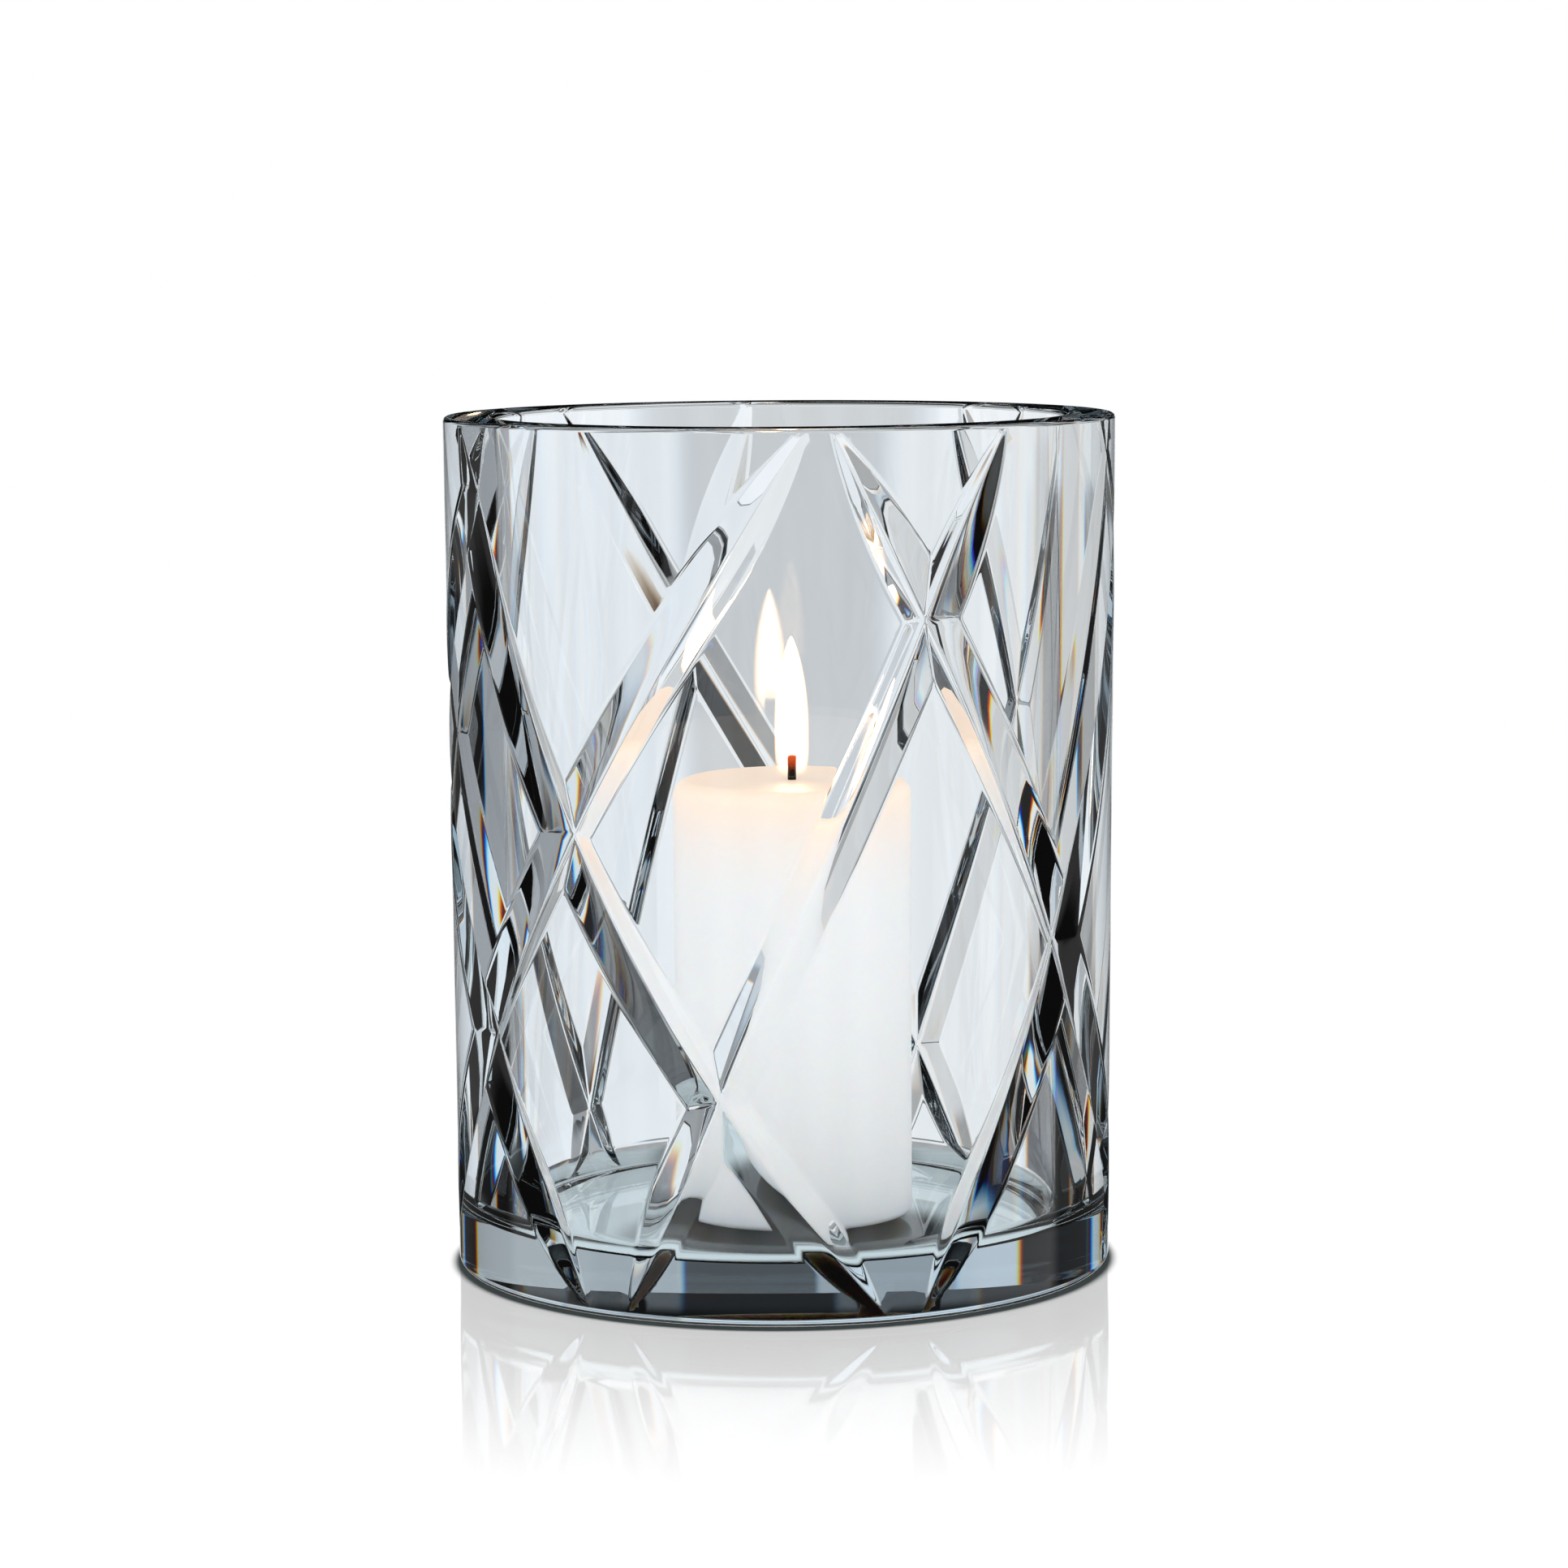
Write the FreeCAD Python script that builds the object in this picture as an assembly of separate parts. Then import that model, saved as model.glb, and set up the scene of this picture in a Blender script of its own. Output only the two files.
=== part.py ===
"""Hurricane candle lantern: a heavy cut-glass cylinder with a pillar candle standing loose inside it.

Frame: millimetres, +Z up, origin at the centre of the flat underside of the glass.
Azimuth 0 is the front of the lantern (-Y) and grows towards +X.
"""

import FreeCAD
import Part
import math
import os

# Glass vessel
HEIGHT = 214.0
RIM_RADIUS = 84.0
FOOT_RADIUS = 82.6
RIM_WALL = 12.8
FOOT_WALL = 13.4
FLOOR_THICKNESS = 13.0
RIM_OUTER_ROUND = 1.2
RIM_INNER_ROUND = 1.6
FOOT_ROUND = 2.2
FLOOR_ROUND = 6.0

# Mitre cuts ground into the outside of the wall
CUT_DEPTH = 4.0
CUT_WIDTH = 14.0
CUT_TIP_RISE = 1.2
CUT_FOOT_MARGIN = 2.6
CUT_TOP_RUNOUT = 46.0
CUT_FOOT_RUNOUT = 34.0
WHEEL_OVERHANG = 4.0

# Each cut runs from an azimuth just above the rim to an azimuth at the foot, in degrees;
# the bow is how far its middle leaves the straight line between the two.
FALLING_LEFT = [
    (4.9, -89.3, 0.4),
    (40.3, -26.9, -0.1),
    (93.5, 23.9, 4.3),
    (142.3, 75, 0),
    (229, 131.5, -1),
    (303.5, 218, -1),
]
FALLING_RIGHT = [
    (7.9, 88.6, -0.4),
    (84.9, 160, 5.8),
    (123, 206, 0),
    (185.4, 234.5, -1),
    (241.1, 324.9, -2.9),
    (291.5, 376.8, -9.8),
]

# Pillar candle
CANDLE_RADIUS = 30.0
CANDLE_HEIGHT = 109.6
CANDLE_EDGE_ROUND = 4.0
CANDLE_FOOT_ROUND = 1.5
CANDLE_OFFSET = 2.7
MELT_RADIUS = 23.0
MELT_DEPTH = 0.4

# Wick and the metal sustainer that holds its foot
WICK_RADIUS = 1.1
WICK_ABOVE_WAX = 6.4
WICK_CLEARANCE = 0.05
SUSTAINER_RADIUS = 8.0
SUSTAINER_SHEET = 0.4
SUSTAINER_NECK = 5.0
SUSTAINER_CLEARANCE = 0.1

UP = FreeCAD.Vector(0, 0, 1)
ORIGIN = FreeCAD.Vector(0, 0, 0)


def around(radius, azimuth, height):
    """The point at a radius, an azimuth in degrees and a height."""
    turn = math.radians(azimuth)
    return FreeCAD.Vector(radius * math.sin(turn), -radius * math.cos(turn), height)


def revolve(points):
    """A solid of revolution about Z from the corners of its half profile, as (radius, height) pairs."""
    corners = [FreeCAD.Vector(radius, 0, height) for radius, height in points]
    outline = Part.makePolygon(corners + corners[:1])
    return Part.Face(outline).revolve(ORIGIN, UP, 360)


def round_rim(solid, radius, height, size):
    """Rounds the one circular edge that has this radius and height."""
    reach = 1e-4
    found = [
        edge
        for edge in solid.Edges
        if isinstance(edge.Curve, Part.Circle)
        and abs(edge.Curve.Radius - radius) < reach
        and abs(edge.Curve.Center.z - height) < reach
    ]
    return solid.makeFillet(size, found)


def outer_radius(height):
    """Outside radius of the uncut wall, which narrows evenly from the rim to the foot."""
    return FOOT_RADIUS + (RIM_RADIUS - FOOT_RADIUS) * height / HEIGHT


def blank():
    """The vessel before it is cut: a tapered wall on a solid base, with every rim rounded."""
    mouth_radius = RIM_RADIUS - RIM_WALL
    floor_radius = FOOT_RADIUS - FOOT_WALL
    vessel = revolve(
        [
            (0, 0),
            (FOOT_RADIUS, 0),
            (RIM_RADIUS, HEIGHT),
            (mouth_radius, HEIGHT),
            (floor_radius, FLOOR_THICKNESS),
            (0, FLOOR_THICKNESS),
        ]
    )
    vessel = round_rim(vessel, FOOT_RADIUS, 0, FOOT_ROUND)
    vessel = round_rim(vessel, RIM_RADIUS, HEIGHT, RIM_OUTER_ROUND)
    vessel = round_rim(vessel, mouth_radius, HEIGHT, RIM_INNER_ROUND)
    return round_rim(vessel, floor_radius, FLOOR_THICKNESS, FLOOR_ROUND)


def cut_azimuth(cut, share):
    """Azimuth of a cut at a share of its way down."""
    top, foot, bow = cut
    return top + (foot - top) * share + 4 * bow * share * (1 - share)


def cut_depth(share, length):
    """Depth of a cut: full along its middle, and lifting out of the wall on a parabola at each end."""
    from_top = share * length / CUT_TOP_RUNOUT
    from_foot = (1 - share) * length / CUT_FOOT_RUNOUT
    lift = max(1 - from_top, 1 - from_foot, 0)
    return CUT_DEPTH * (1 - lift * lift)


def wheel_path(cut):
    """One V-shaped grinding path: a loft through triangles whose points follow the bottom of the cut."""
    top = HEIGHT + CUT_TIP_RISE
    drop = top - CUT_FOOT_MARGIN
    sweep = math.radians(cut[1] - cut[0]) * RIM_RADIUS
    length = math.hypot(drop, sweep)
    top_steps = [CUT_TOP_RUNOUT * step for step in (-0.2, 0, 0.25, 0.5, 0.75, 1)]
    foot_steps = [length - CUT_FOOT_RUNOUT * step for step in (1, 0.75, 0.5, 0.25, 0, -0.3)]
    clear = foot_steps[0] - top_steps[-1]
    middle = [top_steps[-1] + clear * step / 5 for step in range(1, 5)]
    nudge = 1e-3
    slope = CUT_WIDTH / 2 / CUT_DEPTH
    sections = []
    for distance in top_steps + middle + foot_steps:
        share = distance / length
        height = top - drop * share
        azimuth = cut_azimuth(cut, share)
        wall = outer_radius(height)
        bottom = around(wall - cut_depth(share, length), azimuth, height)
        ahead = around(wall, cut_azimuth(cut, share + nudge), height - drop * nudge)
        out = around(1, azimuth, 0)
        along = (ahead - around(wall, azimuth, height)).normalize()
        across = out.cross(along).normalize()
        rise = WHEEL_OVERHANG + cut_depth(share, length)
        left = bottom + out * rise - across * rise * slope
        right = bottom + out * rise + across * rise * slope
        sections.append(Part.makePolygon([bottom, left, right, bottom]))
    return Part.makeLoft(sections, True, False)


def glass_vessel():
    """The vessel with its lattice of mitre cuts."""
    return blank().cut([wheel_path(cut) for cut in FALLING_LEFT + FALLING_RIGHT])


def candle_wax():
    """The pillar: rounded edges, a shallow melted dish, a wick hole and a seat for the sustainer."""
    pillar = Part.makeCylinder(CANDLE_RADIUS, CANDLE_HEIGHT)
    pillar = round_rim(pillar, CANDLE_RADIUS, CANDLE_HEIGHT, CANDLE_EDGE_ROUND)
    pillar = round_rim(pillar, CANDLE_RADIUS, 0, CANDLE_FOOT_ROUND)
    dish_radius = (MELT_RADIUS**2 + MELT_DEPTH**2) / (2 * MELT_DEPTH)
    dish_centre = UP * (CANDLE_HEIGHT - MELT_DEPTH + dish_radius)
    wick_hole = Part.makeCylinder(WICK_RADIUS + WICK_CLEARANCE, CANDLE_HEIGHT)
    seat = Part.makeCylinder(SUSTAINER_RADIUS + SUSTAINER_CLEARANCE, SUSTAINER_SHEET)
    neck_radius = WICK_RADIUS + WICK_CLEARANCE + SUSTAINER_SHEET + SUSTAINER_CLEARANCE
    neck_seat = Part.makeCylinder(neck_radius, SUSTAINER_NECK)
    return pillar.cut([Part.makeSphere(dish_radius, dish_centre), wick_hole, seat, neck_seat])


def wick():
    """The wick, from the foot of the candle to its rounded burnt tip above the wax."""
    top = CANDLE_HEIGHT - MELT_DEPTH + WICK_ABOVE_WAX
    return round_rim(Part.makeCylinder(WICK_RADIUS, top), WICK_RADIUS, top, 0.8 * WICK_RADIUS)


def wick_sustainer():
    """The pressed metal disc under the candle, with a neck crimped round the wick."""
    bore = WICK_RADIUS + WICK_CLEARANCE
    return revolve(
        [
            (bore, 0),
            (SUSTAINER_RADIUS, 0),
            (SUSTAINER_RADIUS, SUSTAINER_SHEET),
            (bore + SUSTAINER_SHEET, SUSTAINER_SHEET),
            (bore + SUSTAINER_SHEET, SUSTAINER_NECK),
            (bore, SUSTAINER_NECK),
        ]
    )


def main():
    """Builds each piece in place and writes it to its own file."""
    os.makedirs("parts", exist_ok=True)
    on_floor = FreeCAD.Vector(CANDLE_OFFSET, 0, FLOOR_THICKNESS)
    pieces = {
        "glass_vessel": glass_vessel(),
        "candle_wax": candle_wax().translated(on_floor),
        "wick": wick().translated(on_floor),
        "wick_sustainer": wick_sustainer().translated(on_floor),
    }
    for name, shape in pieces.items():
        shape.exportStep(f"parts/{name}.step")
        print(name, "solids", len(shape.Solids), "volume", round(shape.Volume), "valid", shape.isValid())


main()
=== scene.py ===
"""Hurricane candle lantern: a heavy cut-glass cylinder with a burning pillar candle inside it.

Lengths are metres in the shared frame: +Z up, origin at the centre of the underside.
Azimuth 0 faces the camera (-Y) and grows towards +X.
"""

import math
from itertools import chain

import bpy
import numpy as np
from bpy.props import FloatProperty, FloatVectorProperty, IntProperty, PointerProperty
from mathutils.geometry import delaunay_2d_cdt
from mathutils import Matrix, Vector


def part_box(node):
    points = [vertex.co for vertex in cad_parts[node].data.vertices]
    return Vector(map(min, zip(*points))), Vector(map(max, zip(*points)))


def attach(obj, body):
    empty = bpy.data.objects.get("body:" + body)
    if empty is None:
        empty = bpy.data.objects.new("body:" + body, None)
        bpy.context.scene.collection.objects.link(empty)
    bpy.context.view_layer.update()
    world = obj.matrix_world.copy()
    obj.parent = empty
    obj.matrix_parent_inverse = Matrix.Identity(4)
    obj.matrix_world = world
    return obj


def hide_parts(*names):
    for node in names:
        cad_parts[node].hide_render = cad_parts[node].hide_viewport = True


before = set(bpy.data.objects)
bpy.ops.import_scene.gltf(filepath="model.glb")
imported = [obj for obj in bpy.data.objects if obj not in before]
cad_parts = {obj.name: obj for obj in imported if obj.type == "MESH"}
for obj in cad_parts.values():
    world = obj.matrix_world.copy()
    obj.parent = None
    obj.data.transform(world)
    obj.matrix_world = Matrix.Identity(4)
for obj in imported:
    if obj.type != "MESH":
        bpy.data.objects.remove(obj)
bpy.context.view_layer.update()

bl_info = {
    "name": "Hurricane Candle Lantern",
    "version": (1, 0, 0),
    "blender": (4, 5, 0),
    "location": "3D View > Sidebar > Lantern",
    "description": "Builds a cut-glass hurricane lantern, its burning candle and a studio round it",
    "category": "Object",
}

# Each cut runs from an azimuth at the rim to one at the foot, in degrees;
# the bow is how far its middle leaves the straight line between the two.
FALLING_LEFT = [
    (4.9, -89.3, 0.4), (40.3, -26.9, -0.1), (93.5, 23.9, 4.3),
    (142.3, 75, 0), (229, 131.5, -1), (303.5, 218, -1),
]
FALLING_RIGHT = [
    (7.9, 88.6, -0.4), (84.9, 160, 5.8), (123, 206, 0),
    (185.4, 234.5, -1), (241.1, 324.9, -2.9), (291.5, 376.8, -9.8),
]
CUTS = np.radians(FALLING_LEFT + FALLING_RIGHT)[:, :, None]

# Rows of points beside a cut's ridge: a share of its half width, and millimetres more
ROWS = np.array(
    [
        (0, 0), (0, 0.22), (0, 0.6), (0.35, 0), (0.65, 0),
        (1, -0.7), (1, -0.22), (1, 0), (1, 0.22), (1, 0.7), (1, 1.05),
    ]
)
ROWS = np.concatenate([-ROWS[:0:-1], ROWS])[:, :, None]

# The rows on a cut's two edges and on its ridge
CREASE_ROWS = (3, 10, 17)

# The net of points on the wall: half widths under which a cut's rows draw together and end, how far
# points keep from the end rings, how far in depth the grid keeps out of the cuts, and its pitch
MILLIMETRE = 1e-3
NARROW = 3e-3
FAINT = 2e-4
RING_MARGIN = 2e-4
CUT_MARGIN = 8e-4
GRID_PITCH = 3.2e-3

BLACK = (0, 0, 0, 1)
WHITE = (1, 1, 1, 1)

GLASS_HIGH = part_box("glass_vessel")[1]
WAX_LOW, WAX_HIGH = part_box("candle_wax")
WICK_LOW, WICK_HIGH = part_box("wick")
CANDLE_AXIS = np.array([(WAX_LOW.x + WAX_HIGH.x) / 2, (WAX_LOW.y + WAX_HIGH.y) / 2, 0])


def size(name, default, description):
    """A length in metres that a user may change."""
    return FloatProperty(
        name=name, description=description, default=default, min=0.0, unit="LENGTH", precision=5
    )


def hue(name, default, description):
    """A linear colour that a user may change."""
    return FloatVectorProperty(
        name=name, description=description, default=default, size=3, subtype="COLOR", min=0.0, max=1.0
    )


def amount(name, default, description):
    """A plain number that a user may change."""
    return FloatProperty(name=name, description=description, default=default, min=0.0)


def angle(name, degrees, description):
    """An angle that a user may change."""
    return FloatProperty(
        name=name, description=description, default=math.radians(degrees), subtype="ANGLE"
    )


class LanternVessel(bpy.types.PropertyGroup):
    """Sizes and tint of the glass."""

    height: size("Height", GLASS_HIGH.z, "From the underside to the flat rim")
    rim_radius: size("Rim radius", 0.084, "Outside radius at the rim")
    foot_radius: size("Foot radius", 0.0826, "Outside radius at the foot")
    rim_wall: size("Rim wall", 0.0128, "Wall thickness at the rim")
    foot_wall: size("Foot wall", 0.0134, "Wall thickness at the floor")
    floor: size("Floor", WAX_LOW.z, "Thickness of the solid base")
    rim_outer_round: size("Outer rim round", 0.0012, "Rounding of the rim's outside edge")
    rim_inner_round: size("Inner rim round", 0.0016, "Rounding of the rim's inside edge")
    foot_round: size("Foot round", 0.0022, "Rounding of the foot")
    floor_round: size("Floor round", 0.006, "Rounding between the floor and the wall")
    cut_depth: size("Cut depth", 0.004, "Full depth of a mitre cut")
    cut_width: size("Cut width", 0.014, "Full width of a mitre cut")
    cut_rise: size("Cut rise", 0.0012, "From the rim up to where a cut's line would end")
    cut_foot: size("Cut foot margin", 0.0026, "From the underside to the lower tip of a cut")
    top_runout: size("Top run-out", 0.046, "Length over which a cut lifts out towards the rim")
    foot_runout: size("Foot run-out", 0.034, "Length over which a cut lifts out towards the foot")
    polish: size("Polish", 0.0005, "Rounding that polishing leaves on the edges of the cuts")
    columns: IntProperty(name="Columns", description="Points round each ring", default=576, min=48, max=720)
    tint: hue("Tint", (0.36, 0.56, 0.68), "Colour that passes through the glass")
    density: amount("Density", 5.0, "Strength of the tint per metre")
    bending: amount("Refraction", 1.52, "Refractive index of the glass")


class LanternCandle(bpy.types.PropertyGroup):
    """Sizes and colours of the candle, its wick and its flame."""

    radius: size("Radius", (WAX_HIGH.x - WAX_LOW.x) / 2, "Radius of the pillar")
    edge_round: size("Edge round", 0.004, "Rounding of the upper edge")
    foot_round: size("Foot round", 0.0015, "Rounding of the lower edge")
    melt_radius: size("Melt radius", 0.023, "Radius of the melted dish")
    melt_depth: size("Melt depth", 0.0004, "Depth of the melted dish")
    wick_radius: size("Wick radius", (WICK_HIGH.x - WICK_LOW.x) / 2, "Radius of the wick")
    wick_foot: size("Wick foot", 0.0002, "From the underside of the candle to the foot of the wick")
    wick_tip: size("Wick tip", 0.0009, "Height of the rounding at the tip of the wick")
    wick_lean: size("Wick lean", 0.0001, "How far the tip of the wick leans aside")
    braid_depth: amount("Braid depth", 0.1, "Depth of the braid as a share of the wick's radius")
    braid_twist: amount("Braid twist", 2400.0, "Turn of a strand over a metre of wick, in radians")
    flame_lift: size("Flame lift", 0.0006, "From the melted wax to the foot of the flame")
    flame_height: size("Flame height", 0.0357, "From the foot to the tip of the flame")
    flame_radius: size("Flame radius", 0.0044, "Half of the flame's width")
    flame_taper: size("Flame taper", 0.0233, "Length over which the flame narrows to its tip")
    soak: size("Soak", 0.034, "How far the flame's light soaks down into the wax")
    wax: hue("Wax", (0.86, 0.865, 0.87), "Colour of the wax")
    # Painted light: the warm wax colour and the glow below are the flame's light painted into the top of the
    # wax
    flame_lit_wax: hue("Warm wax", (0.8, 0.65, 0.53), "Colour of the wax beside the flame")
    glow: hue("Glow", (1.0, 0.62, 0.32), "Colour of the flame's light in the wax")
    flame: hue("Flame", (1.0, 0.68, 0.38), "Colour of the flame's body")
    flame_edge: hue("Flame edge", (1.0, 0.36, 0.08), "Colour of the flame's edge")
    flame_strength: amount("Flame strength", 20.0, "Brightness of the flame")


class LanternStage(bpy.types.PropertyGroup):
    """The camera, the floor and the light."""

    camera_distance: size("Camera distance", 1.1872, "From the lantern's axis to the camera")
    camera_height: size("Camera height", 0.2647, "Height of the camera")
    camera_side: size("Camera side", 0.0007, "Sideways place of the camera")
    camera_pitch: angle("Camera pitch", 6.918, "Downward tilt of the camera")
    camera_roll: angle("Camera roll", -0.35, "Sideways tilt of the camera")
    camera_lens: amount("Camera lens", 108.79, "Focal length in millimetres on a 36 mm sensor")
    floor_radius: size("Floor radius", 0.9, "Radius of the table top")
    soft_light: amount("Soft light", 0.95, "Level of the even light round the lantern")
    inner_light: amount("Inner light", 2.2, "Level of the light that the glass passes on to the candle")


def wrapped(turn):
    """An angle brought between -pi and pi."""
    return (turn + np.pi) % (2 * np.pi) - np.pi


def outer_radius(v, height):
    """Uncut wall: the radius grows evenly from the foot to the rim."""
    return v.foot_radius + (v.rim_radius - v.foot_radius) * height / v.height


def cut_line(v, share, cuts=CUTS):
    """Azimuth, slant and length of cuts at a share of their way down."""
    top, foot, bow = cuts[:, 0], cuts[:, 1], cuts[:, 2]
    drop = v.height + v.cut_rise - v.cut_foot
    azimuth = top + (foot - top) * share + 4 * bow * share * (1 - share)
    turn = (foot - top) + 4 * bow * (1 - 2 * share)
    slant = np.arctan2(turn * v.rim_radius, drop)
    return azimuth, slant, np.hypot(drop, (foot - top) * v.rim_radius)


def ridge_depth(v, along, length):
    """Depth along a cut: full in the middle, and lifting out on a parabola over the run-out at each end."""
    lift = np.maximum(1 - along / v.top_runout, 1 - (length - along) / v.foot_runout)
    return v.cut_depth * (1 - np.maximum(lift, 0) ** 2)


def cut_depths(v, azimuth, height):
    """Depth that each cut alone takes at each point: its ridge depth, less slope times the distance
    from the ridge, less the fall of the round wall over that distance. It is negative outside the cut."""
    share = (v.height + v.cut_rise - height) / (v.height + v.cut_rise - v.cut_foot)
    centre, slant, length = cut_line(v, share)
    away = wrapped(azimuth - centre) * v.rim_radius
    across = away * np.cos(slant)
    along = share * length + away * np.sin(slant)
    slope = 2 * v.cut_depth / v.cut_width
    bend = (across * np.cos(slant)) ** 2 / (2 * v.rim_radius)
    return ridge_depth(v, along, length) - slope * np.hypot(across, v.polish) - bend


def wall_radius(v, azimuth, height):
    """Cut wall: the uncut radius less the rounded maximum of zero and every cut's depth,
    where two depths a and b join as max(a, b) + max(h - |a - b|, 0)^2 / 4h."""
    taken = np.zeros_like(azimuth)
    for depth in cut_depths(v, azimuth, height):
        near = np.maximum(v.polish - np.abs(taken - depth), 0)
        taken = np.maximum(taken, depth) + near**2 / (4 * v.polish)
    return outer_radius(v, height) - taken


def wall_points(v, azimuth, height):
    """Points of the cut wall and their normals, e_r - (dr/da)/r e_a - dr/dz e_z, by central differences."""
    step = 2e-5
    turn = step / v.rim_radius
    radius = wall_radius(v, azimuth, height)
    by_turn = wall_radius(v, azimuth + turn, height) - wall_radius(v, azimuth - turn, height)
    by_turn /= 2 * turn
    by_height = wall_radius(v, azimuth, height + step) - wall_radius(v, azimuth, height - step)
    by_height /= 2 * step
    sin, cos = np.sin(azimuth), np.cos(azimuth)
    lean = by_turn / radius
    points = np.stack([radius * sin, -radius * cos, height], 1)
    normals = np.stack([sin - lean * cos, -cos - lean * sin, -by_height], 1)
    return points, normals / np.linalg.norm(normals, axis=1, keepdims=True)


def half_width(v, depth):
    """Half width w of a cut of this depth, where slope w + bend w^2 equals the depth. The bend is that
    of the round wall across a cut of a usual slant."""
    cosine_squared = 0.83
    slope = 2 * v.cut_depth / v.cut_width
    bend = cosine_squared / (2 * v.rim_radius)
    return (np.sqrt(slope**2 + 4 * bend * np.maximum(depth, 0)) - slope) / (2 * bend)


def chained(kept, rows):
    """Pairs of neighbouring kept points along the given rows, as numbers among the kept points."""
    number = np.where(kept, np.cumsum(kept.ravel()).reshape(kept.shape) - 1, -1)[:, rows]
    pairs = np.stack([number[..., :-1], number[..., 1:]], -1).reshape(-1, 2)
    return pairs[(pairs >= 0).all(1)]


def cut_rows(v):
    """Points on rows beside every ridge, without those that another cut takes away, and the creases
    among them. Where a cut is narrow, the rows draw together."""
    share = np.linspace(0.004, 0.996, 150)[None, :]
    centre, slant, length = cut_line(v, share)
    width = half_width(v, ridge_depth(v, share * length, length))
    margin = MILLIMETRE * np.minimum(width / NARROW, 1)
    across = ROWS[None, :, 0] * width[:, None] + ROWS[None, :, 1] * margin[:, None]
    azimuth = centre[:, None] + across * np.cos(slant)[:, None] / v.rim_radius
    drop = v.height + v.cut_rise - v.cut_foot
    height = v.height + v.cut_rise - drop * share[:, None] + across * np.sin(slant)[:, None]
    depths = cut_depths(v, azimuth.ravel(), height.ravel()).reshape(len(CUTS), *azimuth.shape)
    index = np.arange(len(CUTS))
    own = depths[index, index].copy()
    depths[index, index] = -1
    kept = (depths.max(0) < np.maximum(own, 0)) & (width > FAINT)[:, None]
    return azimuth[kept], height[kept], chained(kept, CREASE_ROWS)


def crossings(v):
    """Pairs of cuts that cross, and the share of the way down at which they do."""
    share = np.linspace(0, 1, 1500)[None, :]
    azimuth = cut_line(v, share)[0]
    left = len(FALLING_LEFT)
    gap = wrapped(azimuth[:left, None] - azimuth[None, left:])
    first, second, step = np.nonzero((gap[..., :-1] >= 0) & (gap[..., 1:] < 0) & (gap[..., :-1] < 1))
    return first, second + left, share[0, step]


def mitres(v):
    """Points on and beside the mitre lines, where two crossing cuts are equally deep. A few Newton steps
    move each point sideways until the gap between the two depths is nil."""
    first, second, share = crossings(v)
    share = share[:, None]
    azimuth, slant_a, length = cut_line(v, share, CUTS[first])
    slant_b = cut_line(v, share, CUTS[second])[1]
    width = half_width(v, ridge_depth(v, share * length, length))
    drop = v.height + v.cut_rise - v.cut_foot
    height = v.height + v.cut_rise - drop * share
    opening = np.abs(slant_a - slant_b) / 2
    turn = (slant_a + slant_b) / 2
    offsets = np.array([-0.6, -0.2, 0, 0.2, 0.6])[None, :, None] * MILLIMETRE
    step, limit, least_slope, least_depth = 1e-5, 3e-3, 0.05, 2e-5
    sites = []
    for reach, tilt, count in ((width / np.sin(opening), 0, 33), (width / np.cos(opening), np.pi / 2, 19)):
        along = np.linspace(-0.97, 0.97, count)[None, None, :] * reach[:, None]
        lean = (turn + tilt)[:, None]
        across = along * np.sin(lean)
        fall = along * np.cos(lean)
        shift = np.zeros_like(along)
        for _ in range(4):
            gap = mitre_gap(v, *mitre_spot(v, azimuth, height, across, fall, shift, lean), first, second)
            ahead = mitre_spot(v, azimuth, height, across, fall, shift + step, lean)
            slope = (mitre_gap(v, *ahead, first, second) - gap) / step
            slope = np.where(np.abs(slope) < least_slope, np.inf, slope)
            shift = np.clip(shift - gap / slope, -limit, limit)
        a, h = mitre_spot(v, azimuth, height, across, fall, shift + offsets, lean)
        depths = cut_depths(v, a.ravel(), h.ravel()).max(0).reshape(a.shape)
        kept = depths > least_depth
        sites.append((a[kept], h[kept], chained(kept, (2,))))
    return sites


def mitre_spot(v, azimuth, height, across, fall, shift, lean):
    """Azimuth and height of points along a mitre line, moved sideways by a shift."""
    return (
        azimuth[:, None] + (across + shift * np.cos(lean)) / v.rim_radius,
        height[:, None] - (fall - shift * np.sin(lean)),
    )


def mitre_gap(v, azimuth, height, first, second):
    """How much deeper the first cut of each pair is than the second."""
    depths = cut_depths(v, azimuth.ravel(), height.ravel()).reshape(len(CUTS), *azimuth.shape)
    index = np.arange(len(first))
    return depths[first, index] - depths[second, index]


def open_wall(v, low, high):
    """A staggered grid of even triangles on the wall between the cuts."""
    columns = round(2 * np.pi * v.rim_radius / GRID_PITCH)
    rows = round((high - low) / (GRID_PITCH * math.sin(math.radians(60))))
    row, column = np.meshgrid(np.arange(1, rows), np.arange(columns), indexing="ij")
    azimuth = ((column + 0.5 * (row % 2)) * 2 * np.pi / columns).ravel()
    height = (low + (high - low) * row / rows).ravel()
    kept = cut_depths(v, azimuth, height).max(0) < -CUT_MARGIN
    return azimuth[kept], height[kept]


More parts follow.
